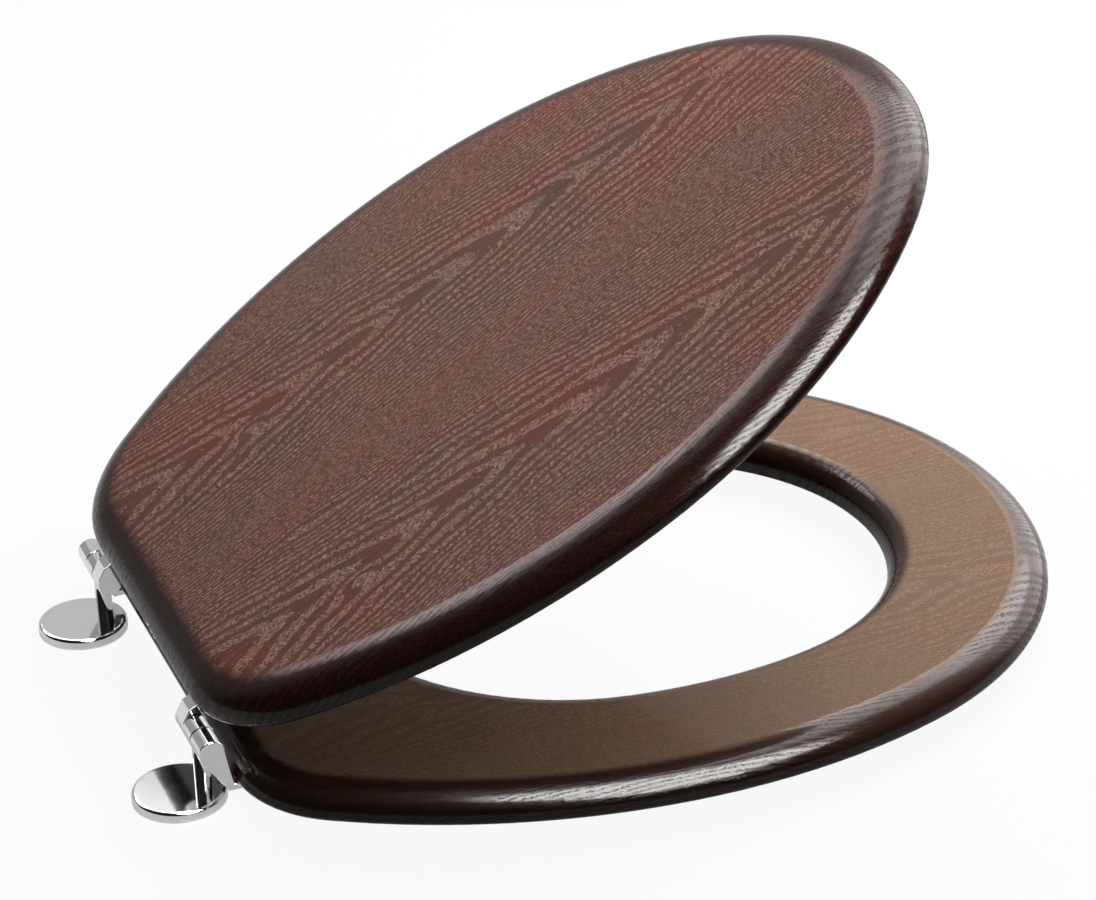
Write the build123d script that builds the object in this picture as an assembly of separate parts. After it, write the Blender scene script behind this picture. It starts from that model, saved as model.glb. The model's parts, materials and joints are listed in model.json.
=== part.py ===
from build123d import *
import os
from math import acos, atan2, cos, hypot, radians, sin, sqrt, tan

# Toilet seat: a veneered lid and seat ring on two chromed hinges.
# Millimetres. z = 0 is the pan the seat is fixed to, the front faces -Y and the hinge axis runs along X.
# The origin lies midway between the two fixing holes.

# Where the hinge stands
FIXING_SPACING = 155.0        # between the two fixing holes
AXIS_AHEAD = 10.7             # hinge axis and posts, ahead of the fixing holes
AXIS_HEIGHT = 29.6            # hinge axis above the pan

# Lid board
LID_WIDTH = 348.0
LID_LENGTH = 407.3
LID_WIDEST = 193.1            # from the rear edge to the widest place
LID_REAR_SIDE_RADIUS = 309.0
LID_FRONT_SIDE_RADIUS = 247.0
LID_CORNER_RADIUS = 68.7
LID_THICKNESS = 15.8
LID_SETBACK = 6.0             # rear edge ahead of the hinge axis, lid closed
LID_LIFT = 8.1                # underside above the hinge axis, lid closed
LID_OPEN_ANGLE = 28.9         # how far the lid stands open at rest

# Seat ring
RING_WIDTH = 372.5
RING_LENGTH = 411.3
RING_WIDEST = 192.6
RING_REAR_SIDE_RADIUS = 311.6
RING_FRONT_SIDE_RADIUS = 300.0
RING_CORNER_RADIUS = 54.2
RING_THICKNESS = 16.0
RING_UNDERSIDE = 9.8          # above the pan
RING_SETBACK = 9.8            # rear edge ahead of the hinge axis
HOLE_WIDTH = 224.0
HOLE_LENGTH = 259.0
HOLE_WIDEST = 126.0           # from the hole's rear to its widest place
HOLE_SIDE_RADIUS = 206.0
HOLE_BEHIND = 79.0            # ring's width behind the hole

# Rounded edges of both boards: how far in and how high each rounding reaches
LID_TOP_ACROSS = 20.0
RING_TOP_ACROSS = 16.0
EDGE_UNDER_ACROSS = 7.5
EDGE_UNDER_HEIGHT = 4.5
HOLE_TOP_ACROSS = 11.5
HOLE_UNDER_ACROSS = 3.0
HOLE_UNDER_HEIGHT = 3.0

# Base discs and their gaskets
DISC_RADIUS = 20.3
DISC_TOP = 5.1
DISC_RIM_GAP = 0.4            # rim clear of the pan
DISC_EDGE_ROUND = 1.6
GASKET_THICKNESS = 1.9
GASKET_INNER_RADIUS = 7.2
GASKET_OUTER_RADIUS = 17.4
GASKET_CLEARANCE = 0.2
FIXING_HOLE_RADIUS = 2.5      # tapping size of an M6 thread
FIXING_HOLE_DEPTH = 3.9

# Posts, barrels and pins
POST_RADIUS = 3.7
SPIGOT_RADIUS = 2.4
KNUCKLE_RADIUS = 5.8
POST_KNUCKLE_WIDTH = 9.6
LID_KNUCKLE_WIDTH = 11.0
SEAT_KNUCKLE_WIDTH = 13.0
KNUCKLE_EDGE_ROUND = 0.5
PIN_RADIUS = 3.0
PIN_END_GAP = 0.5             # pin end short of the bottom of its bore
PIN_CHAMFER = 0.4

# Nylon bushes in the brackets
BUSH_WALL = 1.0
BUSH_RUNNING_CLEARANCE = 0.05
LID_BUSH_LENGTH = 8.5
SEAT_BUSH_LENGTH = 10.0
FLANGE_RADIUS = 5.4
FLANGE_THICKNESS = 0.5
FLANGE_CLEARANCE = 0.2

# Bracket arms and plates
LID_ARM_SLOPE = 32.0          # rear face of the lid arm above the lid's plane, degrees
LID_PLATE_THICKNESS = 3.0
LID_PLATE_REACH = 52.0        # ahead of the hinge axis
SEAT_HEEL = 6.2               # heel of the seat foot ahead of the hinge axis
SEAT_ANKLE = 8.7              # front of the seat arm where it meets its foot
SEAT_FOOT_THICKNESS = 3.0
SEAT_FOOT_REACH = 58.0
PLATE_END_ROUND = 4.5
RECESS_CLEARANCE = 0.15

# Countersunk screws through the brackets
SCREW_RADIUS = 1.75
SCREW_HEAD_RADIUS = 3.4
SCREW_LENGTH = 12.0
SCREW_TIP = 2.5
SCREW_HOLE_CLEARANCE = 0.1
SCREW_CROSS_WIDTH = 0.8
SCREW_CROSS_SPAN = 3.4
SCREW_CROSS_DEPTH = 0.9
PILOT_SPARE = 0.4             # pilot hole past the screw's tip
SCREW_FROM_END = 8.0          # outer screw from the plate's end
SCREW_PITCH = 22.0

# Rubber buffers and their pan-head screws
SEAT_BUFFER_RADIUS = 11.0
LID_BUFFER_RADIUS = 9.0
LID_BUFFER_CLEARANCE = 0.3    # lid buffer above the ring, lid closed
BUFFER_EDGE_ROUND = 1.5
BUFFER_WELL_RADIUS = 4.4
BUFFER_WELL_DEPTH = 4.6
BUFFER_HEAD_RADIUS = 3.6
BUFFER_HEAD_HEIGHT = 2.2
BUFFER_SCREW_BITE = 9.0       # thread inside the board
FRONT_BUFFER_INSET = 111.0    # seat buffers in from the ring's widest place
FRONT_BUFFER_BACK = 59.0      # front seat buffers behind the ring's front edge
REAR_BUFFER_INSET = 58.0
REAR_BUFFER_AHEAD = 95.0      # rear seat buffers ahead of the ring's rear edge
LID_BUFFER_INSET = 48.0       # side lid buffers in from the ring's widest place
LID_BUFFER_AHEAD = 232.0      # side lid buffers ahead of the ring's rear edge
LID_NOSE_BUFFER_BACK = 36.0   # front lid buffer behind the ring's front edge

# Places worked out from the sizes above
AXIS_Y = -AXIS_AHEAD
HINGE_AXIS = Axis((0, AXIS_Y, AXIS_HEIGHT), (-1, 0, 0))
POST_X = FIXING_SPACING / 2
RING_REAR_Y = AXIS_Y - RING_SETBACK
RING_TOP = RING_UNDERSIDE + RING_THICKNESS
LID_UNDERSIDE = AXIS_HEIGHT + LID_LIFT
KNUCKLE_GAP = FLANGE_THICKNESS + FLANGE_CLEARANCE
POST_INNER_X = POST_X - POST_KNUCKLE_WIDTH / 2
POST_OUTER_X = POST_X + POST_KNUCKLE_WIDTH / 2
LID_KNUCKLE_X = POST_INNER_X - KNUCKLE_GAP
SEAT_KNUCKLE_X = POST_OUTER_X + KNUCKLE_GAP
LID_STRAP_X = LID_KNUCKLE_X - LID_KNUCKLE_WIDTH / 2
SEAT_STRAP_X = SEAT_KNUCKLE_X + SEAT_KNUCKLE_WIDTH / 2
BUSH_INNER_RADIUS = PIN_RADIUS + BUSH_RUNNING_CLEARANCE
BUSH_OUTER_RADIUS = BUSH_INNER_RADIUS + BUSH_WALL
SCREW_CONE = SCREW_HEAD_RADIUS - SCREW_RADIUS
LID_SCREW_REACHES = [LID_PLATE_REACH - SCREW_FROM_END - i * SCREW_PITCH for i in range(2)]
SEAT_SCREW_REACHES = [SEAT_FOOT_REACH - SCREW_FROM_END - i * SCREW_PITCH for i in range(2)]
RING_FRONT_Y = RING_REAR_Y - RING_LENGTH
FRONT_BUFFER_X = RING_WIDTH / 2 - FRONT_BUFFER_INSET
REAR_BUFFER_X = RING_WIDTH / 2 - REAR_BUFFER_INSET
LID_BUFFER_X = RING_WIDTH / 2 - LID_BUFFER_INSET
SEAT_BUFFER_PLACES = {
    "front_left": (-FRONT_BUFFER_X, RING_FRONT_Y + FRONT_BUFFER_BACK),
    "front_right": (FRONT_BUFFER_X, RING_FRONT_Y + FRONT_BUFFER_BACK),
    "rear_left": (-REAR_BUFFER_X, RING_REAR_Y - REAR_BUFFER_AHEAD),
    "rear_right": (REAR_BUFFER_X, RING_REAR_Y - REAR_BUFFER_AHEAD),
}
LID_BUFFER_PLACES = {
    "left": (-LID_BUFFER_X, RING_REAR_Y - LID_BUFFER_AHEAD),
    "right": (LID_BUFFER_X, RING_REAR_Y - LID_BUFFER_AHEAD),
    "front": (0.0, RING_FRONT_Y + LID_NOSE_BUFFER_BACK),
}


# Outlines of the boards, seen from above

def arc(centre, radius, start, end):
    """Arc about a centre, from one direction to the next."""
    middle = Vector(*start).normalized() + Vector(*end).normalized()
    ways = [Vector(*start), middle, Vector(*end)]
    return ThreePointArc(*[Vector(*centre) + way.normalized() * radius for way in ways])


def end_radius(half_width, reach, side_radius):
    """Radius of the end arc that meets the two side arcs tangentially."""
    spread = 2 * side_radius * half_width - half_width ** 2 - reach ** 2
    return spread / (2 * (side_radius - reach))


def rounded_end(half_width, reach, side_radius, forward, inset):
    """Side arc, end arc and side arc of an oval's half; forward is -1 to the front and 1 to the rear."""
    radius = end_radius(half_width, reach, side_radius)
    end_centre = (0, forward * (reach - radius))
    edges = []
    for side in (1, -1):
        side_centre = (side * (half_width - side_radius), 0)
        join = (-side_centre[0], end_centre[1])
        edges.append(arc(side_centre, side_radius - inset, (side, 0), join))
    joins = [(side * (side_radius - half_width), end_centre[1]) for side in (1, -1)]
    start, end = joins
    tip = (0, forward)
    edges.append(arc(end_centre, radius - inset, start, tip))
    edges.append(arc(end_centre, radius - inset, tip, end))
    return edges


def board_outline(width, length, widest, rear_side_radius, front_side_radius, corner_radius, inset):
    """Outline of a lid or ring: straight at the rear, round at the front. Its rear edge lies at y = 0."""
    half = width / 2
    side_x = half - rear_side_radius
    across = rear_side_radius - corner_radius
    along = widest - corner_radius
    corner_x = side_x + sqrt(across ** 2 - along ** 2)
    shift = Location((0, -widest))
    edges = [shift * edge for edge in rounded_end(half, length - widest, front_side_radius, -1, inset)]
    for side in (1, -1):
        turn = (side * (corner_x - side_x), along)
        edges.append(arc((side * side_x, -widest), rear_side_radius - inset, (side, 0), turn))
        edges.append(arc((side * corner_x, -corner_radius), corner_radius - inset, turn, (0, 1)))
    edges.append(Line((-corner_x, -inset), (corner_x, -inset)))
    return Wire(edges)


def lid_outline(inset):
    return board_outline(LID_WIDTH, LID_LENGTH, LID_WIDEST, LID_REAR_SIDE_RADIUS, LID_FRONT_SIDE_RADIUS,
                         LID_CORNER_RADIUS, inset)


def ring_outline(inset):
    return board_outline(RING_WIDTH, RING_LENGTH, RING_WIDEST, RING_REAR_SIDE_RADIUS, RING_FRONT_SIDE_RADIUS,
                         RING_CORNER_RADIUS, inset)


def hole_outline(outset):
    """Egg-shaped opening; its rear lies at y = 0."""
    half = HOLE_WIDTH / 2
    edges = rounded_end(half, HOLE_WIDEST, HOLE_SIDE_RADIUS, 1, -outset)
    edges += rounded_end(half, HOLE_LENGTH - HOLE_WIDEST, HOLE_SIDE_RADIUS, -1, -outset)
    return Wire([Location((0, -HOLE_WIDEST)) * edge for edge in edges])


def edge_section(thickness, top_across, under_across, under_height):
    """Half-round section of a board's edge: x runs out to the edge, y up."""
    under_centre = (top_across - under_across, under_height)
    low = EllipticalCenterArc(under_centre, under_across, under_height, 270, arc_size=90)
    high = EllipticalCenterArc((0, under_height), top_across, thickness - under_height, 0, arc_size=90)
    rest = Polyline(high @ 1, (0, 0), low @ 0)
    return make_face([low, high, rest])


def rounded_rim(outline, section, outward):
    """Rim that carries the section along an outline; outward is 1 round a board and -1 round a hole."""
    pieces = []
    for edge in outline.edges():
        start, along = edge @ 0, edge % 0
        across = along.cross(Vector(0, 0, 1))
        probe = edge @ 0.5 + (edge % 0.5).cross(Vector(0, 0, 1))
        inside = Face(outline).is_inside(probe)
        if inside == (outward > 0):
            across = -across
        face = Plane(start, x_dir=across, z_dir=across.cross(Vector(0, 0, 1))) * section
        pieces.append(sweep(face, path=edge))
    return pieces


def slab(outline, thickness):
    """Flat plate that stands on an outline."""
    return extrude(Face(outline), thickness, dir=(0, 0, 1))


def lid_board():
    section = edge_section(LID_THICKNESS, LID_TOP_ACROSS, EDGE_UNDER_ACROSS, EDGE_UNDER_HEIGHT)
    outline = lid_outline(LID_TOP_ACROSS)
    board = slab(outline, LID_THICKNESS).fuse(*rounded_rim(outline, section, 1))
    board = Location((0, AXIS_Y - LID_SETBACK, LID_UNDERSIDE)) * board
    for x in (LID_STRAP_X, -LID_STRAP_X):
        for reach in LID_SCREW_REACHES:
            depth = SCREW_LENGTH - LID_PLATE_THICKNESS + PILOT_SPARE
            board -= pilot_hole((x, AXIS_Y - reach, LID_UNDERSIDE), depth)
    for x, y in LID_BUFFER_PLACES.values():
        board -= pilot_hole((x, y, LID_UNDERSIDE), BUFFER_SCREW_BITE + PILOT_SPARE)
    return board


def ring_board():
    outer_section = edge_section(RING_THICKNESS, RING_TOP_ACROSS, EDGE_UNDER_ACROSS, EDGE_UNDER_HEIGHT)
    inner_section = edge_section(RING_THICKNESS, HOLE_TOP_ACROSS, HOLE_UNDER_ACROSS, HOLE_UNDER_HEIGHT)
    outer = ring_outline(RING_TOP_ACROSS)
    inner = Location((0, -HOLE_BEHIND)) * hole_outline(HOLE_TOP_ACROSS)
    flat = slab(outer, RING_THICKNESS) - slab(inner, RING_THICKNESS)
    board = flat.fuse(*rounded_rim(outer, outer_section, 1), *rounded_rim(inner, inner_section, -1))
    board = Location((0, RING_REAR_Y, RING_UNDERSIDE)) * board
    for side in (1, -1):
        board -= foot_recess(side * SEAT_STRAP_X)
        for reach in SEAT_SCREW_REACHES:
            place = (side * SEAT_STRAP_X, AXIS_Y - reach, RING_UNDERSIDE)
            board -= pilot_hole(place, SCREW_LENGTH + PILOT_SPARE)
    for x, y in SEAT_BUFFER_PLACES.values():
        board -= pilot_hole((x, y, RING_UNDERSIDE), BUFFER_SCREW_BITE + PILOT_SPARE)
    return board


def pilot_hole(mouth, depth):
    return Location(mouth) * Cylinder(SCREW_RADIUS, depth, align=(Align.CENTER, Align.CENTER, Align.MIN))


def foot_recess(x):
    """Pocket in the ring's underside that takes a seat bracket's foot flush."""
    width = SEAT_KNUCKLE_WIDTH + 2 * RECESS_CLEARANCE
    length = SEAT_FOOT_REACH + RECESS_CLEARANCE
    pocket = Box(width, length, SEAT_FOOT_THICKNESS, align=(Align.CENTER, Align.MAX, Align.MIN))
    ends = pocket.edges().filter_by(Axis.Z).group_by(Axis.Y)[0]
    pocket = fillet(ends, PLATE_END_ROUND)
    return Location((x, AXIS_Y, RING_UNDERSIDE)) * pocket


# Hinge pieces, made for the right-hand hinge

def across_hinge(sketch, inner_x, width):
    """Prism along the hinge axis; the sketch's x runs forward from the axis and its y up."""
    plane = Plane((inner_x + width, AXIS_Y, AXIS_HEIGHT), x_dir=(0, -1, 0), z_dir=(-1, 0, 0))
    return extrude(plane * sketch, width)


def base_disc():
    disc = Cylinder(DISC_RADIUS, DISC_TOP - DISC_RIM_GAP, align=(Align.CENTER, Align.CENTER, Align.MIN))
    disc = Location((0, 0, DISC_RIM_GAP)) * disc
    disc = fillet(disc.edges().group_by(Axis.Z)[-1], DISC_EDGE_ROUND)
    boss = Circle(GASKET_INNER_RADIUS - GASKET_CLEARANCE)
    disc += extrude(boss, DISC_TOP / 2)
    groove = Circle(GASKET_OUTER_RADIUS + GASKET_CLEARANCE) - boss
    disc -= extrude(groove, GASKET_THICKNESS)
    disc -= extrude(Circle(FIXING_HOLE_RADIUS), FIXING_HOLE_DEPTH)
    disc -= Location((0, AXIS_Y)) * extrude(Circle(SPIGOT_RADIUS), DISC_TOP)
    return Location((POST_X, 0)) * disc


def base_gasket():
    ring = Circle(GASKET_OUTER_RADIUS) - Circle(GASKET_INNER_RADIUS)
    return Location((POST_X, 0)) * extrude(ring, GASKET_THICKNESS)


def hinge_post():
    """Post, its spigot in the base disc and its barrel on the hinge axis."""
    foot = Plane((POST_X, AXIS_Y, DISC_TOP))
    post = extrude(foot * Circle(POST_RADIUS), AXIS_HEIGHT - DISC_TOP)
    post += extrude(foot * Circle(SPIGOT_RADIUS), GASKET_THICKNESS - DISC_TOP)
    barrel = across_hinge(Circle(KNUCKLE_RADIUS), POST_INNER_X, POST_KNUCKLE_WIDTH)
    bore = across_hinge(Circle(PIN_RADIUS), POST_INNER_X, POST_KNUCKLE_WIDTH)
    return post + barrel - bore


def hinge_pin():
    inner_x = LID_KNUCKLE_X - LID_BUSH_LENGTH + PIN_END_GAP
    outer_x = SEAT_KNUCKLE_X + SEAT_BUSH_LENGTH - PIN_END_GAP
    pin = across_hinge(Circle(PIN_RADIUS), inner_x, outer_x - inner_x)
    return chamfer(pin.edges().filter_by(GeomType.CIRCLE), PIN_CHAMFER)


def bush(tube_x, tube_length, flange_x):
    """Flanged nylon bush."""
    hole = Circle(BUSH_INNER_RADIUS)
    tube = across_hinge(Circle(BUSH_OUTER_RADIUS) - hole, tube_x, tube_length)
    return tube + across_hinge(Circle(FLANGE_RADIUS) - hole, flange_x, FLANGE_THICKNESS)


def soften_sides(bracket):
    """Small rounding along both side faces of a bracket."""
    sides = bracket.faces().filter_by(Axis.X).sort_by(Axis.X)
    edges = sides[0].outer_wire().edges() + sides[-1].outer_wire().edges()
    return fillet(edges, KNUCKLE_EDGE_ROUND)


def round_plate_end(bracket):
    """Round the two front corners of a bracket's plate."""
    ends = bracket.edges().filter_by(Axis.Z).group_by(Axis.Y)[0]
    return fillet(ends, PLATE_END_ROUND)


def lid_bracket():
    """Bracket under the lid, in the closed lid's place."""
    slope = radians(LID_ARM_SLOPE)
    back = (-KNUCKLE_RADIUS * sin(slope), KNUCKLE_RADIUS * cos(slope))
    crest = (back[0] + (LID_LIFT - back[1]) / tan(slope), LID_LIFT)
    under = LID_LIFT - LID_PLATE_THICKNESS
    corners = [(0, 0), back, crest, (LID_PLATE_REACH, LID_LIFT), (LID_PLATE_REACH, under),
               (KNUCKLE_RADIUS, under), (KNUCKLE_RADIUS, 0)]
    profile = make_face(Polyline(*corners, close=True)) + Circle(KNUCKLE_RADIUS)
    bracket = across_hinge(profile, LID_KNUCKLE_X - LID_KNUCKLE_WIDTH, LID_KNUCKLE_WIDTH)
    bracket = soften_sides(round_plate_end(bracket))
    bracket -= across_hinge(Circle(BUSH_OUTER_RADIUS), LID_KNUCKLE_X - LID_BUSH_LENGTH, LID_BUSH_LENGTH)
    for reach in LID_SCREW_REACHES:
        place = (LID_STRAP_X, AXIS_Y - reach, LID_UNDERSIDE - LID_PLATE_THICKNESS)
        bracket -= countersink(place, LID_PLATE_THICKNESS)
    return bracket


def seat_bracket():
    """Bracket whose foot lies flush in the ring's underside."""
    sole = RING_UNDERSIDE - AXIS_HEIGHT
    instep = sole + SEAT_FOOT_THICKNESS
    heel_angle = atan2(sole, SEAT_HEEL)
    rear_angle = heel_angle - acos(KNUCKLE_RADIUS / hypot(SEAT_HEEL, sole))
    rear = (KNUCKLE_RADIUS * cos(rear_angle), KNUCKLE_RADIUS * sin(rear_angle))
    corners = [(0, 0), rear, (SEAT_HEEL, sole), (SEAT_FOOT_REACH, sole), (SEAT_FOOT_REACH, instep),
               (SEAT_ANKLE, instep), (KNUCKLE_RADIUS, 0)]
    profile = make_face(Polyline(*corners, close=True)) + Circle(KNUCKLE_RADIUS)
    bracket = across_hinge(profile, SEAT_KNUCKLE_X, SEAT_KNUCKLE_WIDTH)
    bracket = soften_sides(round_plate_end(bracket))
    bracket -= across_hinge(Circle(BUSH_OUTER_RADIUS), SEAT_KNUCKLE_X, SEAT_BUSH_LENGTH)
    for reach in SEAT_SCREW_REACHES:
        bracket -= countersink((SEAT_STRAP_X, AXIS_Y - reach, RING_UNDERSIDE), SEAT_FOOT_THICKNESS)
    return bracket


def countersink(mouth, depth):
    """Countersunk hole upwards from its mouth."""
    hole = Cylinder(SCREW_RADIUS + SCREW_HOLE_CLEARANCE, depth, align=(Align.CENTER, Align.CENTER, Align.MIN))
    cone = Cone(SCREW_HEAD_RADIUS + SCREW_HOLE_CLEARANCE, SCREW_RADIUS + SCREW_HOLE_CLEARANCE, SCREW_CONE,
                align=(Align.CENTER, Align.CENTER, Align.MIN))
    return Location(mouth) * (hole + cone)


def cross_slot():
    """Driver recess of a screw head, upwards from the head's face."""
    bar = Box(SCREW_CROSS_SPAN, SCREW_CROSS_WIDTH, SCREW_CROSS_DEPTH, align=(Align.CENTER, Align.CENTER, Align.MIN))
    return bar + Rotation(0, 0, 90) * bar


def shank(start, end):
    """Screw shank and its pointed tip along +Z."""
    body = Cylinder(SCREW_RADIUS, end - SCREW_TIP - start, align=(Align.CENTER, Align.CENTER, Align.MIN))
    tip = Cone(SCREW_RADIUS, SCREW_CROSS_WIDTH / 2, SCREW_TIP, align=(Align.CENTER, Align.CENTER, Align.MIN))
    return Location((0, 0, start)) * body + Location((0, 0, end - SCREW_TIP)) * tip


def countersunk_screw(mouth):
    head = Cone(SCREW_HEAD_RADIUS, SCREW_RADIUS, SCREW_CONE, align=(Align.CENTER, Align.CENTER, Align.MIN))
    return Location(mouth) * (head + shank(SCREW_CONE, SCREW_LENGTH) - cross_slot())


def buffer_screw(seat, length):
    """Pan-head screw, upwards from its well; seat is the face the head bears on."""
    head = Cylinder(BUFFER_HEAD_RADIUS, BUFFER_HEAD_HEIGHT, align=(Align.CENTER, Align.CENTER, Align.MAX))
    head = fillet(head.edges().group_by(Axis.Z)[0], BUFFER_HEAD_HEIGHT / 3)
    slot = Location((0, 0, -BUFFER_HEAD_HEIGHT)) * cross_slot()
    return Location(seat) * (head + shank(0, length) - slot)


def buffer(radius, foot, height):
    """Rubber buffer that stands on its foot, with a well for its screw."""
    body = Cylinder(radius, height, align=(Align.CENTER, Align.CENTER, Align.MIN))
    body = fillet(body.edges().group_by(Axis.Z)[0], BUFFER_EDGE_ROUND)
    body -= Cylinder(BUFFER_WELL_RADIUS, BUFFER_WELL_DEPTH, align=(Align.CENTER, Align.CENTER, Align.MIN))
    body -= Cylinder(SCREW_RADIUS + SCREW_HOLE_CLEARANCE, height, align=(Align.CENTER, Align.CENTER, Align.MIN))
    return Location(foot) * body


# The whole seat, the lid at first closed

fixed = {}
lid_pieces = {"lid": lid_board()}
seat_pieces = {"seat_ring": ring_board()}

right_hinge = {
    "base_disc": base_disc(),
    "base_gasket": base_gasket(),
    "hinge_post": hinge_post(),
    "hinge_pin": hinge_pin(),
}
right_seat = {
    "seat_bracket": seat_bracket(),
    "seat_bush": bush(SEAT_KNUCKLE_X, SEAT_BUSH_LENGTH, SEAT_KNUCKLE_X - FLANGE_THICKNESS),
    "seat_bracket_screws": Compound([
        countersunk_screw((SEAT_STRAP_X, AXIS_Y - reach, RING_UNDERSIDE)).solid()
        for reach in SEAT_SCREW_REACHES]),
}
right_lid = {
    "lid_bracket": lid_bracket(),
    "lid_bush": bush(LID_KNUCKLE_X - LID_BUSH_LENGTH, LID_BUSH_LENGTH, LID_KNUCKLE_X),
    "lid_bracket_screws": Compound([
        countersunk_screw((LID_STRAP_X, AXIS_Y - reach, LID_UNDERSIDE - LID_PLATE_THICKNESS)).solid()
        for reach in LID_SCREW_REACHES]),
}
for group, pieces in ((fixed, right_hinge), (seat_pieces, right_seat), (lid_pieces, right_lid)):
    for name, piece in pieces.items():
        group[name + "_right"] = piece
        group[name + "_left"] = mirror(piece, about=Plane.YZ)

seat_screws = []
for name, (x, y) in SEAT_BUFFER_PLACES.items():
    seat_pieces["seat_buffer_" + name] = buffer(SEAT_BUFFER_RADIUS, (x, y, 0), RING_UNDERSIDE)
    length = RING_UNDERSIDE - BUFFER_WELL_DEPTH + BUFFER_SCREW_BITE
    seat_screws.append(buffer_screw((x, y, BUFFER_WELL_DEPTH), length).solid())
seat_pieces["seat_buffer_screws"] = Compound(seat_screws)

lid_screws = []
lid_buffer_foot = RING_TOP + LID_BUFFER_CLEARANCE
for name, (x, y) in LID_BUFFER_PLACES.items():
    height = LID_UNDERSIDE - lid_buffer_foot
    lid_pieces["lid_buffer_" + name] = buffer(LID_BUFFER_RADIUS, (x, y, lid_buffer_foot), height)
    length = height - BUFFER_WELL_DEPTH + BUFFER_SCREW_BITE
    lid_screws.append(buffer_screw((x, y, lid_buffer_foot + BUFFER_WELL_DEPTH), length).solid())
lid_pieces["lid_buffer_screws"] = Compound(lid_screws)

# The lid stands open at rest
lid_pieces = {name: piece.rotate(HINGE_AXIS, LID_OPEN_ANGLE) for name, piece in lid_pieces.items()}

os.makedirs("parts", exist_ok=True)
for name, piece in {**fixed, **seat_pieces, **lid_pieces}.items():
    export_step(piece, f"parts/{name}.step")
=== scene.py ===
import json
from math import acos, asin, cos, pi, radians, sin

import bpy
import numpy as np
from mathutils import Matrix, Vector
from mathutils.kdtree import KDTree


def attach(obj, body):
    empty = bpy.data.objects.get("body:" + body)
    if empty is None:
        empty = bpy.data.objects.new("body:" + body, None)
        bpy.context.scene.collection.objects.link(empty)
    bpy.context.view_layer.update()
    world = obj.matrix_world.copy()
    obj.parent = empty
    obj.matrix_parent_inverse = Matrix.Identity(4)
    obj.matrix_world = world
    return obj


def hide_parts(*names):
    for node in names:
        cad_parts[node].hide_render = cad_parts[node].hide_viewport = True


# Dark veneered toilet seat on chromed hinges. Metres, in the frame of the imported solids.

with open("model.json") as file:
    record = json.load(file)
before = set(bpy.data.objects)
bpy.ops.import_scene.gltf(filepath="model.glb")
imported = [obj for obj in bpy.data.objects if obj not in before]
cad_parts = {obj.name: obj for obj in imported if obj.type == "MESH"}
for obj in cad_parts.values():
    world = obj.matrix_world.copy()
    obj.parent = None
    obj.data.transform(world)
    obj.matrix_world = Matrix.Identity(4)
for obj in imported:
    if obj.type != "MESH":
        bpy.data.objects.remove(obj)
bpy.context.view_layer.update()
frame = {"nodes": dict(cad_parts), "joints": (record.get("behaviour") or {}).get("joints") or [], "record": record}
MM = 0.001

# The hinge axis and how far the lid stands open at rest
LID_HINGE = next(joint for joint in frame["joints"] if joint["name"] == "lid_hinge")
AXIS_POINT = Vector(LID_HINGE["pos_m"])
LID_OPEN = radians(-LID_HINGE["range_deg"][0])

# Photograph: where the camera stood and what it saw
PHOTO_WIDTH = 1096
CAMERA_PLACE = (-1.32895, 0.30844, 0.82676)
CAMERA_AZIMUTH = radians(249.036)
CAMERA_ELEVATION = radians(27.505)
CAMERA_ROLL = radians(-1.619)
FOCAL_PIXELS = 3585.33
SENSOR_WIDTH = 36.0

# Rounded edges of the boards, across and high, in millimetres
LID_EDGE = {"top": (20.0, 11.3), "under": (7.5, 4.5)}
RING_EDGE = {"top": (16.0, 11.5), "under": (7.5, 4.5)}
HOLE_EDGE = {"top": (11.5, 13.0), "under": (3.0, 3.0)}
ARC_STEPS = 90


# Shader nodes

class Graph:
    """A node tree with short ways to add nodes; any input may be a number, a tuple or a socket."""

    def __init__(self, tree):
        self.tree = tree
        tree.nodes.clear()

    def add(self, kind, inputs=None, **settings):
        node = self.tree.nodes.new("ShaderNode" + kind)
        for name, value in settings.items():
            setattr(node, name, value)
        for name, value in (inputs or {}).items():
            self.put(node.inputs[name], value)
        return node

    def put(self, socket, value):
        if isinstance(value, bpy.types.NodeSocket):
            self.tree.links.new(value, socket)
        else:
            socket.default_value = value

    def math(self, operation, *values):
        node = self.add("Math", operation=operation)
        for socket, value in zip(node.inputs, values):
            self.put(socket, value)
        return node.outputs[0]

    def vector(self, operation, *values):
        node = self.add("VectorMath", operation=operation)
        for socket, value in zip(node.inputs, values):
            self.put(socket, value)
        return node.outputs["Value" if operation == "DOT_PRODUCT" else "Vector"]

    def ramp(self, value, low, high, start=0.0, end=1.0, smooth=True):
        """Value from low to high becomes start to end."""
        kind = "SMOOTHSTEP" if smooth else "LINEAR"
        inputs = {"Value": value, "From Min": low, "From Max": high, "To Min": start, "To Max": end}
        return self.add("MapRange", inputs, interpolation_type=kind).outputs["Result"]

    def noise(self, place, scale=1.0, detail=2.0, roughness=0.5):
        """Noise from 0 to 1 about 0.5."""
        inputs = {"Vector": place, "Scale": scale, "Detail": detail, "Roughness": roughness}
        return self.add("TexNoise", inputs, noise_dimensions="3D").outputs["Fac"]

    def mix(self, share, first, second):
        node = self.add("Mix", data_type="RGBA", blend_type="MIX")
        self.put(node.inputs[0], share)
        self.put(node.inputs[6], first)
        self.put(node.inputs[7], second)
        return node.outputs[2]

    def combine(self, x, y, z=0.0):
        return self.add("CombineXYZ", {"X": x, "Y": y, "Z": z}).outputs[0]


def new_material(name):
    material = bpy.data.materials.new(name)
    material.use_nodes = True
    return material, Graph(material.node_tree)


def finish_material(graph, surface):
    output = graph.add("OutputMaterial")
    graph.tree.links.new(surface, output.inputs["Surface"])


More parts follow.
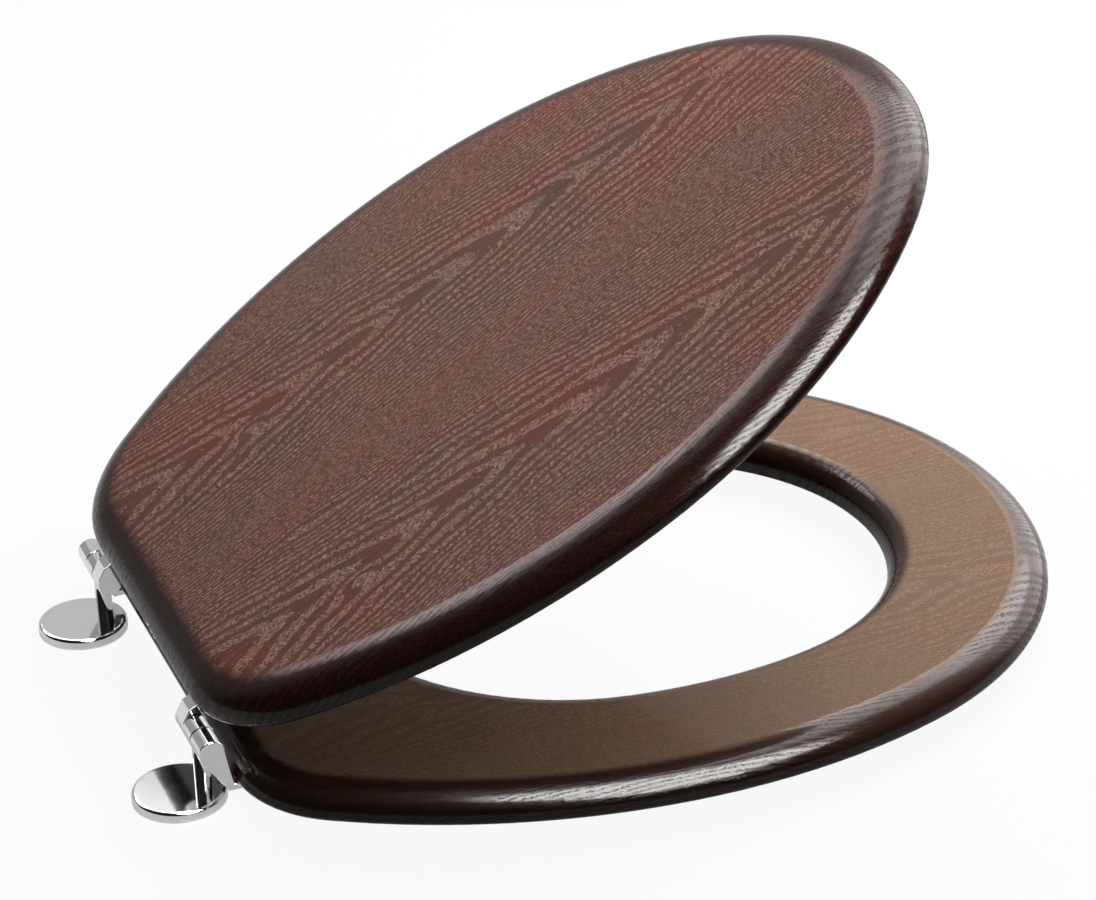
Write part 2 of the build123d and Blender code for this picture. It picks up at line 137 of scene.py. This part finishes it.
def srgb(red, green, blue):
    """A colour written as 0 to 255 becomes linear light."""
    def linear(c):
        c /= 255
        return c / 12.92 if c <= 0.04045 else ((c + 0.055) / 1.055) ** 2.4
    return (linear(red), linear(green), linear(blue), 1.0)


# Veneer

LEAF_WIDTH = 150.0            # slip-matched leaves of veneer, millimetres
LEAF_SEAM = -9.0              # a seam between two leaves, across the board
RING_PITCH = 40.0             # growth rings along a cathedral's centre line
CATHEDRAL_SLOPE = 6.0
CATHEDRAL_NOSE = 8.0
CATHEDRAL_FLARE = 70.0        # the rings crowd together this far off the centre line
EYE_PLACE = (-7.0, 92.0)      # small closed oval in each leaf: off its centre line, ahead of the hinge axis
EYE_REACH = (5.0, 10.0)
EYE_RISE = 45.0

# Noise that bends the growth rings: width and length of its streaks, and reach, millimetres
WANDER = (38.0, 120.0, 26.0)
UNEVEN = (400.0, 75.0, 60.0)
JAGGED = (1.8, 16.0, 9.0)
WAVY = (14.0, 50.0, 5.0)

LEAF_CHANGE = 0.07            # how far the noise differs from leaf to leaf
PORE_WIDTH = 0.44
PORE_LENGTH = 2.8
PORE_DEPTH = 0.1
PORE_DENSITY = (0.015, 0.6)   # share of cells with a pore, in late and in early wood
BENT_EDGE = 6.0               # the veneer cracks finely past this much of a rounded edge

# Streaks and clouds in the colour: width and length, millimetres
STREAK = (1.1, 40.0)
PATCH = (24.0, 130.0)
CLOUD = (30.0, 70.0)
CRACK = (1.6, 26.0)

# How far each mark changes the colour of a fully figured veneer
EARLY_SHARE = 0.25
STREAK_SHARE = 0.3
# The dark dashes are painted shade in the pores
PORE_SHADE_SHARE = 0.5
LIGHT_DASH_SHARE = 0.9
CLOUD_SHARE = 0.7
# The painted shade over the rounded edges reaches this share at most
PAINTED_EDGE_SHADE_SHARE = 0.88
CRACK_SHARE = 0.5
CRACK_DARKNESS = 0.8

PIT_BUMP = 0.2
LACQUER = (0.95, 0.2)         # weight of the gloss, on the wood and in its pits
LACQUER_INDEX = 1.3
LACQUER_ROUGHNESS = 0.07
WOOD_ROUGHNESS = (0.45, 0.55)
WOOD_SPECULAR = 0.02

PORE_TAN = srgb(200, 150, 127)
# Dark of the late wood, streaks and cracks, and the painted shade in the pores
WOOD_DARK_AND_PORE_SHADE = srgb(44, 26, 25)
# Painted shade over the rounded edges, where little light reaches
PAINTED_EDGE_SHADE = srgb(32, 10, 10)


def stretched_noise(graph, across, along, width, length, seed=0.0, detail=2.0):
    """Noise in streaks of a given width and length, millimetres, along the grain."""
    place = graph.combine(graph.math("DIVIDE", across, width), graph.math("DIVIDE", along, length), seed)
    return graph.noise(place, detail=detail)


def swing(graph, noise, reach):
    """Noise about zero, up to about half the reach each way."""
    return graph.math("MULTIPLY", graph.math("SUBTRACT", noise, 0.5), reach)


def eye(graph, off_centre, along):
    """Rise in the growth rings that closes them into an oval."""
    x = graph.math("DIVIDE", graph.math("SUBTRACT", off_centre, EYE_PLACE[0]), EYE_REACH[0])
    y = graph.math("DIVIDE", graph.math("SUBTRACT", along, EYE_PLACE[1]), EYE_REACH[1])
    square = graph.math("ADD", graph.math("MULTIPLY", x, x), graph.math("MULTIPLY", y, y))
    return graph.math("MULTIPLY", graph.math("EXPONENT", graph.math("MULTIPLY", square, -1.0)), EYE_RISE)


def cathedral_rings(graph, across, along):
    """Position in the growth rings, counted in rings, at a place on the veneer in millimetres."""
    from_seam = graph.math("SUBTRACT", across, LEAF_SEAM)
    leaf = graph.math("FLOOR", graph.math("DIVIDE", from_seam, LEAF_WIDTH))
    centre = graph.math("MULTIPLY", graph.math("ADD", leaf, 0.5), LEAF_WIDTH)
    off_centre = graph.math("SUBTRACT", from_seam, centre)
    leaf_seed = graph.math("MULTIPLY", leaf, LEAF_CHANGE)
    wander = swing(graph, stretched_noise(graph, off_centre, along, *WANDER[:2], leaf_seed), WANDER[2])
    bent = graph.math("ADD", off_centre, wander)
    square = graph.math("ADD", graph.math("MULTIPLY", bent, bent), CATHEDRAL_NOSE ** 2)
    arms = graph.math("SUBTRACT", graph.math("SQRT", square), CATHEDRAL_NOSE)
    steep = graph.math("ADD", graph.math("MULTIPLY", square, CATHEDRAL_FLARE ** -2), 1.0)
    arms = graph.math("MULTIPLY", graph.math("MULTIPLY", arms, steep), CATHEDRAL_SLOPE)
    uneven = swing(graph, stretched_noise(graph, off_centre, along, *UNEVEN[:2], leaf_seed), UNEVEN[2])
    jagged = swing(graph, stretched_noise(graph, across, along, *JAGGED[:2]), JAGGED[2])
    height = graph.math("ADD", along, arms)
    for shift in (uneven, jagged, eye(graph, off_centre, along)):
        height = graph.math("ADD", height, shift)
    return graph.math("DIVIDE", height, RING_PITCH)


def pores(graph, across, along, density, width, length, seed):
    """Short dashes along the grain where the density is high."""
    column = graph.math("ADD", graph.math("DIVIDE", across, width), seed)
    cell = graph.combine(column, graph.math("DIVIDE", along, length))
    settings = {"Vector": cell, "Scale": 1.0, "Randomness": 1.0}
    cells = graph.add("TexVoronoi", settings, voronoi_dimensions="2D")
    chance = graph.add("SeparateColor", {"Color": cells.outputs["Color"]}).outputs[0]
    there = graph.math("LESS_THAN", chance, density)
    shape = graph.ramp(cells.outputs["Distance"], 0.45, 0.15)
    return graph.math("MULTIPLY", shape, there)


def veneer(name, brown, red, grey, figure, shaded_edge):
    """Open-grained veneer, darkened by painted shade between two ways over a rounded edge.

    The grain attribute holds a place on the flat sheet and, third, the way over an edge.
    """
    material, graph = new_material(name)
    place = graph.vector("SCALE", graph.add("Attribute", attribute_name="grain").outputs["Vector"])
    place.node.inputs["Scale"].default_value = 1 / MM
    across, along, over_edge = graph.add("SeparateXYZ", {"Vector": place}).outputs

    phase = graph.math("FRACT", cathedral_rings(graph, across, along))
    early = graph.math("MULTIPLY", graph.ramp(phase, 0.0, 0.07), graph.ramp(phase, 0.62, 0.48))
    density = graph.ramp(early, 0.0, 1.0, *PORE_DENSITY, smooth=False)
    waves = swing(graph, stretched_noise(graph, across, along, *WAVY[:2]), WAVY[2])
    wavy = graph.math("ADD", across, waves)
    long_pores = pores(graph, wavy, along, density, PORE_WIDTH, PORE_LENGTH, 0.0)
    short_pores = pores(graph, wavy, along, density, PORE_WIDTH * 0.8, PORE_LENGTH * 0.5, 17.3)
    light_dashes = graph.math("MAXIMUM", long_pores, short_pores)
    # Dark dashes: painted shade in the pores
    pore_shade_dashes = pores(graph, wavy, along, density, PORE_WIDTH * 0.9, PORE_LENGTH * 0.8, 41.7)
    bent = graph.ramp(over_edge, 1.0, BENT_EDGE)
    # Painted shade over the rounded edges, between the two ways given
    edge_shade = graph.ramp(over_edge, *shaded_edge, 0.0, PAINTED_EDGE_SHADE_SHARE)

    streaks = stretched_noise(graph, across, along, *STREAK, detail=4.0)
    patches = stretched_noise(graph, across, along, *PATCH, 3.1, detail=3.0)
    clouds = stretched_noise(graph, across, along, *CLOUD, 7.7)
    colour = graph.mix(graph.ramp(patches, 0.42, 0.64), brown, red)
    colour = graph.mix(graph.ramp(clouds, 0.48, 0.7, 0.0, CLOUD_SHARE), colour, grey)
    colour = graph.mix(graph.math("MULTIPLY", early, EARLY_SHARE * figure), colour, WOOD_DARK_AND_PORE_SHADE)
    colour = graph.mix(graph.ramp(streaks, 0.6, 0.34, 0.0, STREAK_SHARE * figure), colour, WOOD_DARK_AND_PORE_SHADE)
    colour = graph.mix(graph.math("MULTIPLY", pore_shade_dashes, PORE_SHADE_SHARE * figure), colour, WOOD_DARK_AND_PORE_SHADE)
    colour = graph.mix(graph.math("MULTIPLY", light_dashes, LIGHT_DASH_SHARE * figure), colour, PORE_TAN)
    colour = graph.mix(edge_shade, colour, PAINTED_EDGE_SHADE)

    crack_noise = stretched_noise(graph, across, along, *CRACK, 5.3, detail=3.0)
    cracks = graph.ramp(graph.math("ABSOLUTE", graph.math("SUBTRACT", crack_noise, 0.5)), 0.02, 0.0)
    cracks = graph.math("MULTIPLY", graph.math("MULTIPLY", cracks, bent), CRACK_SHARE * figure)
    colour = graph.mix(graph.math("MULTIPLY", cracks, CRACK_DARKNESS), colour, WOOD_DARK_AND_PORE_SHADE)
    pits = graph.math("MAXIMUM", graph.math("MAXIMUM", light_dashes, pore_shade_dashes), cracks)
    sunk = graph.math("MULTIPLY", pits, -1.0)
    bump = graph.add("Bump", {"Strength": PIT_BUMP, "Distance": PORE_DEPTH * MM, "Height": sunk})
    shader = graph.add("BsdfPrincipled", {
        "Base Color": colour,
        "Roughness": graph.ramp(streaks, 0.2, 0.8, *WOOD_ROUGHNESS),
        "Specular IOR Level": WOOD_SPECULAR,
        "Coat Weight": graph.ramp(pits, 0.0, 1.0, *LACQUER, smooth=False),
        "Coat Roughness": LACQUER_ROUGHNESS,
        "Coat IOR": LACQUER_INDEX,
        "Normal": bump.outputs[0],
        "Coat Normal": bump.outputs[0],
    })
    finish_material(graph, shader.outputs[0])
    return material


# Metal, rubber and nylon

def smudged_metal(name, colour, low, high, scale, scratch):
    """Metal whose roughness wanders, with a trace of polishing lines."""
    material, graph = new_material(name)
    place = graph.add("TexCoord").outputs["Object"]
    smudge = graph.noise(place, scale=scale, detail=4.0, roughness=0.6)
    lines = graph.noise(place, scale=scale * 14, detail=2.0)
    bump = graph.add("Bump", {"Strength": scratch, "Distance": 0.02 * MM, "Height": lines})
    dull = tuple(0.93 * c for c in colour[:3]) + (1.0,)
    shader = graph.add("BsdfPrincipled", {
        "Base Color": graph.mix(graph.ramp(smudge, 0.3, 0.7), colour, dull),
        "Metallic": 1.0,
        "Roughness": graph.ramp(smudge, 0.35, 0.7, low, high),
        "Normal": bump.outputs[0],
    })
    finish_material(graph, shader.outputs[0])
    return material


def moulded(name, dark, light, scale, roughness):
    """Rubber or nylon with a fine moulded grain."""
    material, graph = new_material(name)
    place = graph.add("TexCoord").outputs["Object"]
    cloud = graph.noise(place, scale=scale / 12, detail=3.0)
    grain = graph.noise(place, scale=scale, detail=2.0)
    bump = graph.add("Bump", {"Strength": 0.35, "Distance": 0.05 * MM, "Height": grain})
    shader = graph.add("BsdfPrincipled", {
        "Base Color": graph.mix(cloud, dark, light),
        "Roughness": graph.ramp(grain, 0.2, 0.8, roughness - 0.08, roughness + 0.08),
        "Normal": bump.outputs[0],
    })
    finish_material(graph, shader.outputs[0])
    return material


# shaded_edge: ways over the edge, mm, where the painted edge shade begins and is full
LID_VENEER = veneer("veneer", srgb(106, 65, 54), srgb(117, 60, 51), srgb(93, 67, 62),
                    figure=1.0, shaded_edge=(0.8, 7.5))
# The ring's colours are lighter and more olive than the lid's: a painted reflection of the pale far side over the
# same veneer
RING_VENEER_PAINTED_SHEEN = veneer("veneer_ring_painted_sheen", srgb(119, 94, 73), srgb(122, 92, 71), srgb(115, 94, 75),
                     figure=0.4, shaded_edge=(0.3, 4.5))
CHROME = (0.86, 0.87, 0.88, 1.0)
STEEL = (0.56, 0.56, 0.57, 1.0)
DISC_CHROME = smudged_metal("chrome_disc", CHROME, low=0.07, high=0.11, scale=60.0, scratch=0.03)
MATERIALS = {
    "veneer": LID_VENEER,
    "chrome": smudged_metal("chrome", CHROME, low=0.02, high=0.05, scale=60.0, scratch=0.03),
    "steel": smudged_metal("steel", STEEL, low=0.24, high=0.38, scale=140.0, scratch=0.3),
    "nylon": moulded("nylon", srgb(38, 38, 40), srgb(52, 52, 54), scale=2600.0, roughness=0.42),
    "rubber": moulded("rubber", srgb(34, 33, 33), srgb(50, 48, 47), scale=2200.0, roughness=0.62),
}


# Boards with their veneer laid over them

def arc_length(semi_axes, angle):
    """Length of an ellipse's arc from its top, where the first semi-axis lies across."""
    steps = np.linspace(0.0, angle, ARC_STEPS)
    speed = np.hypot(semi_axes[0] * np.cos(steps), semi_axes[1] * np.sin(steps))
    return float(np.sum((speed[1:] + speed[:-1]) / 2 * np.diff(steps)))


def way_over_edge(height, edge):
    """Way along a rounded edge from the flat top down to a height, and the way straight out; millimetres."""
    top, under = edge["top"], edge["under"]
    if height >= under[1]:
        angle = acos(min(1.0, (height - under[1]) / top[1]))
        return arc_length(top, angle), top[0] * sin(angle)
    angle = asin(min(1.0, (under[1] - height) / under[1]))
    low = arc_length(under, pi / 2) - arc_length(under, pi / 2 - angle)
    return arc_length(top, pi / 2) + low, top[0] - under[0] + under[0] * cos(angle)


def outward_ways(places, normals):
    """Unit directions across the board that the edge faces; a flat place takes those of the nearest edge."""
    flat = normals[:, :2].copy()
    size = np.hypot(flat[:, 0], flat[:, 1])
    clear = np.flatnonzero(size > 0.2)
    tree = KDTree(len(clear))
    for i in clear:
        tree.insert(Vector((*places[i, :2], 0.0)), int(i))
    tree.balance()
    for i in np.flatnonzero(size <= 0.2):
        flat[i] = flat[tree.find(Vector((*places[i, :2], 0.0)))[1]]
    return flat / np.hypot(flat[:, 0], flat[:, 1])[:, None]


def veneered_board(node, material, tilt, outer_edge, inner_edge):
    """Copy of a board that knows where each place lies on the flat veneer, measured from the hinge axis."""
    solid = frame["nodes"][node]
    board = bpy.data.objects.new(node + "_veneered", solid.data.copy())
    bpy.context.scene.collection.objects.link(board)
    mesh = board.data
    turn = np.array(Matrix.Rotation(tilt, 3, "X"))
    places = np.array([v.co - AXIS_POINT for v in mesh.vertices]) @ turn.T / MM
    normals = np.array([v.vector for v in mesh.vertex_normals]) @ turn.T
    ways = outward_ways(places, normals)
    middle = (places.min(0) + places.max(0)) / 2
    underside = places[:, 2].min()
    grain = np.zeros((len(places), 3))
    for i, place in enumerate(places):
        faces_out = ways[i] @ (place[:2] - middle[:2]) > 0
        edge = outer_edge if faces_out else inner_edge
        over_edge, outwards = way_over_edge(max(0.0, place[2] - underside), edge)
        grain[i, :2] = place[:2]
        grain[i, 2] = over_edge
        if normals[i, 2] > -0.9:
            grain[i, :2] += (over_edge - outwards) * ways[i]
    grain[:, 1] *= -1
    layer = mesh.attributes.new("grain", "FLOAT_VECTOR", "POINT")
    layer.data.foreach_set("vector", (grain * MM).astype(np.float32).ravel())
    mesh.materials.clear()
    mesh.materials.append(material)
    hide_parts(node)
    return board


lid = veneered_board("lid", LID_VENEER, LID_OPEN, LID_EDGE, LID_EDGE)
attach(lid, "lid")
ring = veneered_board("seat_ring", RING_VENEER_PAINTED_SHEEN, 0.0, RING_EDGE, HOLE_EDGE)
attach(ring, "seat")

for part in frame["record"]["subparts"]:
    solid = frame["nodes"][part["node"]]
    for slot in solid.material_slots:
        slot.link = "OBJECT"
        slot.material = MATERIALS[part["material_slot"]]
for side in ("left", "right"):
    for slot in frame["nodes"]["base_disc_" + side].material_slots:
        slot.material = DISC_CHROME


# Studio: floor, world, lamps and camera

def from_angles(azimuth, elevation):
    """Unit vector; azimuth is counted from +X towards +Y."""
    a, e = radians(azimuth), radians(elevation)
    return Vector((cos(a) * cos(e), sin(a) * cos(e), sin(e)))


STUDIO_MIDDLE = Vector((0.0, -0.2, 0.08))
FAR_SIDE = from_angles(-20.0, 12.0)
FRONT_ABOVE = from_angles(-40.0, 52.0)
DIM_CORNER = from_angles(28.0, 13.0)
WHITE = (1.0, 1.0, 1.0, 1.0)

# World: cosines from each direction between which a level changes, and the levels
FAR_FADE, FAR_LEVELS = (0.15, 0.55), (0.015, 0.55)
DIM_FADE, DIM_LEVELS = (0.93, 0.97), (1.0, 0.6)
FILL_FADE, FILL_LEVELS = (0.0, 0.75), (0.0, 0.5)

# Floor: share of plain white that the camera and gloss see in it, its tone, and its tone for bounced light
FLOOR_SHOWN = 0.93
FLOOR_IN_GLOSS = 0.4
FLOOR_TONE = (0.7, 0.7, 0.7, 1.0)
FLOOR_BOUNCE = (0.15, 0.15, 0.15, 1.0)
FLOOR_REACH = 12.0

# Soft lights that show only in gloss: azimuth, elevation, angles where each begins to fade and ends, strength
SHINES = [
    (-154.0, 63.0, 15.0, 24.0, 36.0),
    (-166.0, 46.0, 9.0, 16.0, 36.0),
    (-40.0, 62.0, 10.0, 24.0, 8.0),
    (25.0, 42.0, 4.0, 13.0, 8.5),
    (-5.0, 47.0, 6.0, 18.0, 4.8),
    (-30.0, 48.0, 6.0, 18.0, 7.5),
    (-52.0, 38.0, 8.0, 20.0, 9.0),
    (-60.0, 20.0, 18.0, 32.0, 3.5),
]


def near_way(graph, way, azimuth, elevation, fade, end, level):
    """A level that fades between two angles from a direction."""
    nearness = graph.vector("DOT_PRODUCT", way, tuple(from_angles(azimuth, elevation)))
    return graph.ramp(nearness, cos(radians(end)), cos(radians(fade)), 0.0, level)


def studio_world():
    """White for the camera; in gloss a pale far side and soft lights; else dim light from above the front."""
    world = bpy.data.worlds.new("studio")
    world.use_nodes = True
    bpy.context.scene.world = world
    graph = Graph(world.node_tree)
    way = graph.add("TexCoord").outputs["Generated"]
    path = graph.add("LightPath")
    far = graph.ramp(graph.vector("DOT_PRODUCT", way, tuple(FAR_SIDE)), *FAR_FADE, *FAR_LEVELS)
    corner = graph.ramp(graph.vector("DOT_PRODUCT", way, tuple(DIM_CORNER)), *DIM_FADE, *DIM_LEVELS)
    gloss = graph.math("MULTIPLY", far, corner)
    for shine in SHINES:
        gloss = graph.math("MAXIMUM", gloss, near_way(graph, way, *shine))
    fill = graph.ramp(graph.vector("DOT_PRODUCT", way, tuple(FRONT_ABOVE)), *FILL_FADE, *FILL_LEVELS)
    level = graph.ramp(path.outputs["Is Glossy Ray"], 0.0, 1.0, fill, gloss, smooth=False)
    around = graph.add("Background", {"Color": WHITE, "Strength": level})
    white = graph.add("Background", {"Color": WHITE, "Strength": 1.0})
    shown = graph.add("MixShader")
    graph.put(shown.inputs[0], path.outputs["Is Camera Ray"])
    graph.put(shown.inputs[1], around.outputs[0])
    graph.put(shown.inputs[2], white.outputs[0])
    graph.put(graph.add("OutputWorld").inputs["Surface"], shown.outputs[0])


def floor():
    """Pale floor whose shadows stay faint to the camera and in reflections; it throws little light back."""
    mesh = bpy.data.meshes.new("floor")
    corners = [(FLOOR_REACH * x, FLOOR_REACH * y, 0) for x, y in ((-1, -1), (1, -1), (1, 1), (-1, 1))]
    mesh.from_pydata(corners, [], [(0, 1, 2, 3)])
    plane = bpy.data.objects.new("floor", mesh)
    bpy.context.scene.collection.objects.link(plane)
    material, graph = new_material("floor")
    path = graph.add("LightPath")
    share = graph.math("ADD", graph.math("MULTIPLY", path.outputs["Is Camera Ray"], FLOOR_SHOWN),
                       graph.math("MULTIPLY", path.outputs["Is Glossy Ray"], FLOOR_IN_GLOSS))
    tone = graph.mix(path.outputs["Is Diffuse Ray"], FLOOR_TONE, FLOOR_BOUNCE)
    paper = graph.add("BsdfDiffuse", {"Color": tone})
    white = graph.add("Emission", {"Color": WHITE, "Strength": 1.0})
    shown = graph.add("MixShader")
    graph.put(shown.inputs[0], share)
    graph.put(shown.inputs[1], paper.outputs[0])
    graph.put(shown.inputs[2], white.outputs[0])
    finish_material(graph, shown.outputs[0])
    mesh.materials.append(material)


def softbox(name, azimuth, elevation, distance, width, height, radiance):
    """Rectangular lamp that faces the middle of the studio and doesn't show in gloss."""
    lamp = bpy.data.lights.new(name, "AREA")
    lamp.shape = "RECTANGLE"
    lamp.size, lamp.size_y = width, height
    lamp.energy = pi * width * height * radiance
    holder = bpy.data.objects.new(name, lamp)
    way = from_angles(azimuth, elevation)
    holder.location = STUDIO_MIDDLE + way * distance
    holder.rotation_mode = "QUATERNION"
    holder.rotation_quaternion = way.to_track_quat("Z", "Y")
    holder.visible_camera = False
    holder.visible_glossy = False
    bpy.context.scene.collection.objects.link(holder)


def camera():
    back = Vector((sin(CAMERA_AZIMUTH) * cos(CAMERA_ELEVATION), -cos(CAMERA_AZIMUTH) * cos(CAMERA_ELEVATION),
                   sin(CAMERA_ELEVATION)))
    level = (-back).cross(Vector((0, 0, 1))).normalized()
    upright = level.cross(-back)
    side = level * cos(CAMERA_ROLL) + upright * sin(CAMERA_ROLL)
    up = upright * cos(CAMERA_ROLL) - level * sin(CAMERA_ROLL)
    data = bpy.data.cameras.new("camera")
    data.sensor_fit = "HORIZONTAL"
    data.sensor_width = SENSOR_WIDTH
    data.lens = FOCAL_PIXELS / PHOTO_WIDTH * SENSOR_WIDTH
    viewer = bpy.data.objects.new("camera", data)
    viewer.matrix_world = Matrix((side, up, back)).transposed().to_4x4()
    viewer.location = CAMERA_PLACE
    bpy.context.scene.collection.objects.link(viewer)
    bpy.context.scene.camera = viewer


studio_world()
floor()
softbox("key", azimuth=-57.0, elevation=46.0, distance=1.2, width=0.9, height=0.9, radiance=7.8)
camera()
bpy.context.scene.view_settings.view_transform = "Standard"
